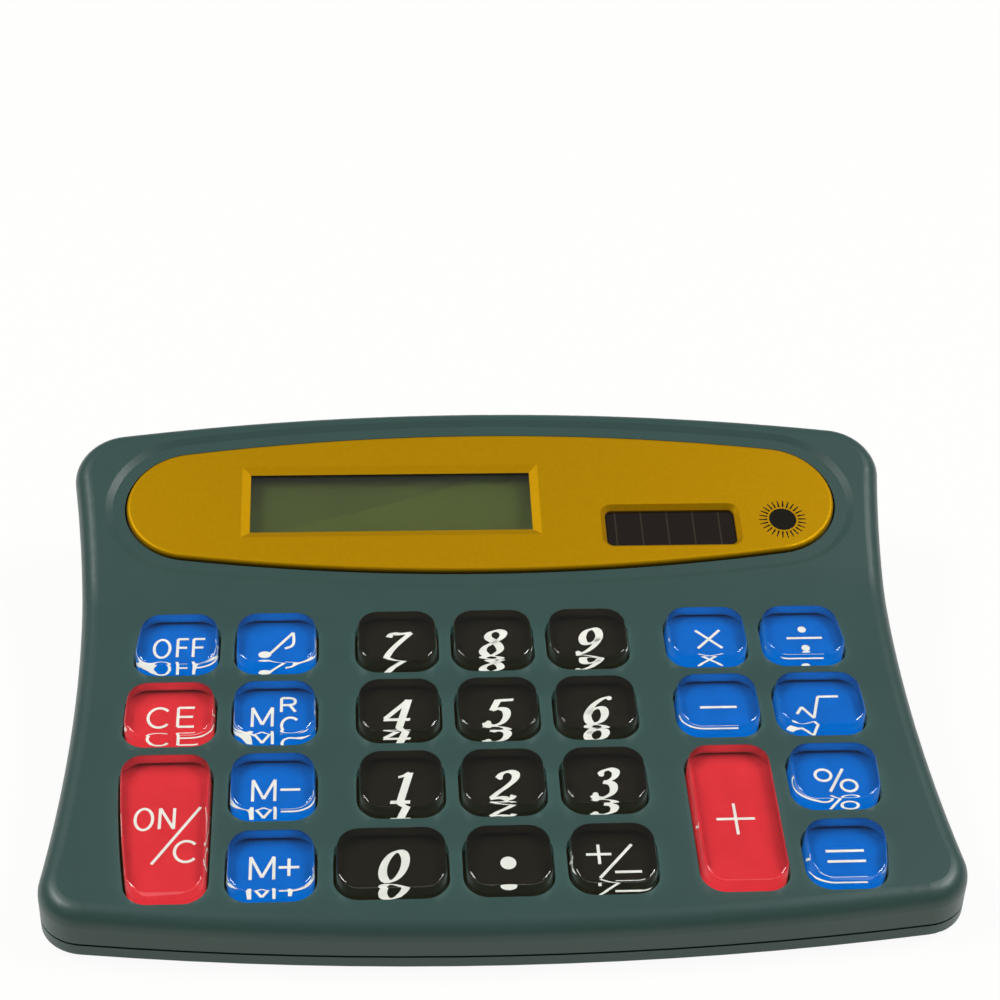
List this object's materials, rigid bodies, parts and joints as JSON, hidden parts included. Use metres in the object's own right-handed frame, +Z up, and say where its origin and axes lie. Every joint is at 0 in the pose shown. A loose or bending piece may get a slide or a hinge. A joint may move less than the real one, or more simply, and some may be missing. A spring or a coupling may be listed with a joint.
{
  "type": "desk calculator",
  "caption": "Desk calculator with a waisted wedge case, clear keys on silicone domes, a tilted display panel with a solar window, and a sliding battery door underneath.",
  "frame": {"origin": "middle of the outline on the surface that the feet stand on", "axes": "+X to the right of the keys, +Y to the display end, +Z up"},
  "size_m": [0.1722, 0.1344, 0.0316],
  "materials": {
    "case_plastic": "moulded ABS, fine satin grain",
    "gold_panel": "moulded plastic with gold metallic lacquer",
    "clear_window": "clear acrylic sheet",
    "lcd_glass": "grey-green liquid crystal glass behind a polariser",
    "ribbon_film": "amber film with carbon tracks",
    "solar_glass": "amorphous silicon on glass",
    "board_laminate": "laminate with green solder mask",
    "silicone": "translucent grey silicone",
    "carbon_rubber": "conductive rubber",
    "resin": "black potting resin",
    "can_sleeve": "shrink sleeve on a small can",
    "resistor_coat": "lacquered resistor",
    "brass_disc": "rolled brass",
    "wire_cover": "PVC covered wire",
    "cell_sleeve": "plain printed sleeve",
    "spring_steel": "nickel plated spring steel",
    "screw_steel": "zinc plated steel",
    "foot_rubber": "moulded rubber",
    "clear_key_black": "clear acrylic printed black underneath",
    "clear_key_red": "clear acrylic printed red underneath",
    "clear_key_blue": "clear acrylic printed blue underneath"
  },
  "bodies": {
    "case": {"upper_case": "case_plastic", "lower_case": "case_plastic", "display_panel": "gold_panel", "display_window": "clear_window", "lcd_cell": "lcd_glass", "display_ribbon": "ribbon_film", "solar_cell": "solar_glass", "main_board": "board_laminate", "rubber_keypad": "silicone", "carbon_pills": "carbon_rubber", "chip_blob": "resin", "capacitors": "can_sleeve", "resistors": "resistor_coat", "piezo_buzzer": "brass_disc", "solar_wires": "wire_cover", "battery_wires": "wire_cover", "buzzer_wires": "wire_cover", "battery_cell": "cell_sleeve", "battery_contacts": "spring_steel", "case_screws": "screw_steel", "board_screws": "screw_steel", "rubber_feet": "foot_rubber"},
    "battery_door": {"battery_door": "case_plastic"},
    "key_off": {"key_off": "clear_key_blue"},
    "key_sound": {"key_sound": "clear_key_blue"},
    "key_7": {"key_7": "clear_key_black"},
    "key_8": {"key_8": "clear_key_black"},
    "key_9": {"key_9": "clear_key_black"},
    "key_times": {"key_times": "clear_key_blue"},
    "key_divide": {"key_divide": "clear_key_blue"},
    "key_clear_entry": {"key_clear_entry": "clear_key_red"},
    "key_memory_recall": {"key_memory_recall": "clear_key_blue"},
    "key_4": {"key_4": "clear_key_black"},
    "key_5": {"key_5": "clear_key_black"},
    "key_6": {"key_6": "clear_key_black"},
    "key_minus": {"key_minus": "clear_key_blue"},
    "key_root": {"key_root": "clear_key_blue"},
    "key_on_clear": {"key_on_clear": "clear_key_red"},
    "key_memory_minus": {"key_memory_minus": "clear_key_blue"},
    "key_1": {"key_1": "clear_key_black"},
    "key_2": {"key_2": "clear_key_black"},
    "key_3": {"key_3": "clear_key_black"},
    "key_plus": {"key_plus": "clear_key_red"},
    "key_percent": {"key_percent": "clear_key_blue"},
    "key_memory_plus": {"key_memory_plus": "clear_key_blue"},
    "key_0": {"key_0": "clear_key_black"},
    "key_point": {"key_point": "clear_key_black"},
    "key_sign": {"key_sign": "clear_key_black"},
    "key_equals": {"key_equals": "clear_key_blue"}
  },
  "joints": [
    {"name": "key_off_press", "type": "slide", "parent": "case", "child": "key_off", "axis": [0, 0.1045, -0.9945], "range_m": [0, 0.0014], "stiffness_N_per_m": 300, "springref_m": -0.0005, "deforming": ["rubber_keypad", "carbon_pills"]},
    {"name": "key_sound_press", "type": "slide", "parent": "case", "child": "key_sound", "axis": [0, 0.1045, -0.9945], "range_m": [0, 0.0014], "stiffness_N_per_m": 300, "springref_m": -0.0005, "deforming": ["rubber_keypad", "carbon_pills"]},
    {"name": "key_7_press", "type": "slide", "parent": "case", "child": "key_7", "axis": [0, 0.1045, -0.9945], "range_m": [0, 0.0014], "stiffness_N_per_m": 300, "springref_m": -0.0005, "deforming": ["rubber_keypad", "carbon_pills"]},
    {"name": "key_8_press", "type": "slide", "parent": "case", "child": "key_8", "axis": [0, 0.1045, -0.9945], "range_m": [0, 0.0014], "stiffness_N_per_m": 300, "springref_m": -0.0005, "deforming": ["rubber_keypad", "carbon_pills"]},
    {"name": "key_9_press", "type": "slide", "parent": "case", "child": "key_9", "axis": [0, 0.1045, -0.9945], "range_m": [0, 0.0014], "stiffness_N_per_m": 300, "springref_m": -0.0005, "deforming": ["rubber_keypad", "carbon_pills"]},
    {"name": "key_times_press", "type": "slide", "parent": "case", "child": "key_times", "axis": [0, 0.1045, -0.9945], "range_m": [0, 0.0014], "stiffness_N_per_m": 300, "springref_m": -0.0005, "deforming": ["rubber_keypad", "carbon_pills"]},
    {"name": "key_divide_press", "type": "slide", "parent": "case", "child": "key_divide", "axis": [0, 0.1045, -0.9945], "range_m": [0, 0.0014], "stiffness_N_per_m": 300, "springref_m": -0.0005, "deforming": ["rubber_keypad", "carbon_pills"]},
    {"name": "key_clear_entry_press", "type": "slide", "parent": "case", "child": "key_clear_entry", "axis": [0, 0.1045, -0.9945], "range_m": [0, 0.0014], "stiffness_N_per_m": 300, "springref_m": -0.0005, "deforming": ["rubber_keypad", "carbon_pills"]},
    {"name": "key_memory_recall_press", "type": "slide", "parent": "case", "child": "key_memory_recall", "axis": [0, 0.1045, -0.9945], "range_m": [0, 0.0014], "stiffness_N_per_m": 300, "springref_m": -0.0005, "deforming": ["rubber_keypad", "carbon_pills"]},
    {"name": "key_4_press", "type": "slide", "parent": "case", "child": "key_4", "axis": [0, 0.1045, -0.9945], "range_m": [0, 0.0014], "stiffness_N_per_m": 300, "springref_m": -0.0005, "deforming": ["rubber_keypad", "carbon_pills"]},
    {"name": "key_5_press", "type": "slide", "parent": "case", "child": "key_5", "axis": [0, 0.1045, -0.9945], "range_m": [0, 0.0014], "stiffness_N_per_m": 300, "springref_m": -0.0005, "deforming": ["rubber_keypad", "carbon_pills"]},
    {"name": "key_6_press", "type": "slide", "parent": "case", "child": "key_6", "axis": [0, 0.1045, -0.9945], "range_m": [0, 0.0014], "stiffness_N_per_m": 300, "springref_m": -0.0005, "deforming": ["rubber_keypad", "carbon_pills"]},
    {"name": "key_minus_press", "type": "slide", "parent": "case", "child": "key_minus", "axis": [0, 0.1045, -0.9945], "range_m": [0, 0.0014], "stiffness_N_per_m": 300, "springref_m": -0.0005, "deforming": ["rubber_keypad", "carbon_pills"]},
    {"name": "key_root_press", "type": "slide", "parent": "case", "child": "key_root", "axis": [0, 0.1045, -0.9945], "range_m": [0, 0.0014], "stiffness_N_per_m": 300, "springref_m": -0.0005, "deforming": ["rubber_keypad", "carbon_pills"]},
    {"name": "key_on_clear_press", "type": "slide", "parent": "case", "child": "key_on_clear", "axis": [0, 0.1045, -0.9945], "range_m": [0, 0.0014], "stiffness_N_per_m": 300, "springref_m": -0.0005, "deforming": ["rubber_keypad", "carbon_pills"]},
    {"name": "key_memory_minus_press", "type": "slide", "parent": "case", "child": "key_memory_minus", "axis": [0, 0.1045, -0.9945], "range_m": [0, 0.0014], "stiffness_N_per_m": 300, "springref_m": -0.0005, "deforming": ["rubber_keypad", "carbon_pills"]},
    {"name": "key_1_press", "type": "slide", "parent": "case", "child": "key_1", "axis": [0, 0.1045, -0.9945], "range_m": [0, 0.0014], "stiffness_N_per_m": 300, "springref_m": -0.0005, "deforming": ["rubber_keypad", "carbon_pills"]},
    {"name": "key_2_press", "type": "slide", "parent": "case", "child": "key_2", "axis": [0, 0.1045, -0.9945], "range_m": [0, 0.0014], "stiffness_N_per_m": 300, "springref_m": -0.0005, "deforming": ["rubber_keypad", "carbon_pills"]},
    {"name": "key_3_press", "type": "slide", "parent": "case", "child": "key_3", "axis": [0, 0.1045, -0.9945], "range_m": [0, 0.0014], "stiffness_N_per_m": 300, "springref_m": -0.0005, "deforming": ["rubber_keypad", "carbon_pills"]},
    {"name": "key_plus_press", "type": "slide", "parent": "case", "child": "key_plus", "axis": [0, 0.1045, -0.9945], "range_m": [0, 0.0014], "stiffness_N_per_m": 300, "springref_m": -0.0005, "deforming": ["rubber_keypad", "carbon_pills"]},
    {"name": "key_percent_press", "type": "slide", "parent": "case", "child": "key_percent", "axis": [0, 0.1045, -0.9945], "range_m": [0, 0.0014], "stiffness_N_per_m": 300, "springref_m": -0.0005, "deforming": ["rubber_keypad", "carbon_pills"]},
    {"name": "key_memory_plus_press", "type": "slide", "parent": "case", "child": "key_memory_plus", "axis": [0, 0.1045, -0.9945], "range_m": [0, 0.0014], "stiffness_N_per_m": 300, "springref_m": -0.0005, "deforming": ["rubber_keypad", "carbon_pills"]},
    {"name": "key_0_press", "type": "slide", "parent": "case", "child": "key_0", "axis": [0, 0.1045, -0.9945], "range_m": [0, 0.0014], "stiffness_N_per_m": 300, "springref_m": -0.0005, "deforming": ["rubber_keypad", "carbon_pills"]},
    {"name": "key_point_press", "type": "slide", "parent": "case", "child": "key_point", "axis": [0, 0.1045, -0.9945], "range_m": [0, 0.0014], "stiffness_N_per_m": 300, "springref_m": -0.0005, "deforming": ["rubber_keypad", "carbon_pills"]},
    {"name": "key_sign_press", "type": "slide", "parent": "case", "child": "key_sign", "axis": [0, 0.1045, -0.9945], "range_m": [0, 0.0014], "stiffness_N_per_m": 300, "springref_m": -0.0005, "deforming": ["rubber_keypad", "carbon_pills"]},
    {"name": "key_equals_press", "type": "slide", "parent": "case", "child": "key_equals", "axis": [0, 0.1045, -0.9945], "range_m": [0, 0.0014], "stiffness_N_per_m": 300, "springref_m": -0.0005, "deforming": ["rubber_keypad", "carbon_pills"]},
    {"name": "battery_door_slide", "type": "slide", "parent": "case", "child": "battery_door", "axis": [0, 1, 0], "range_m": [0, 0.018]}
  ]
}
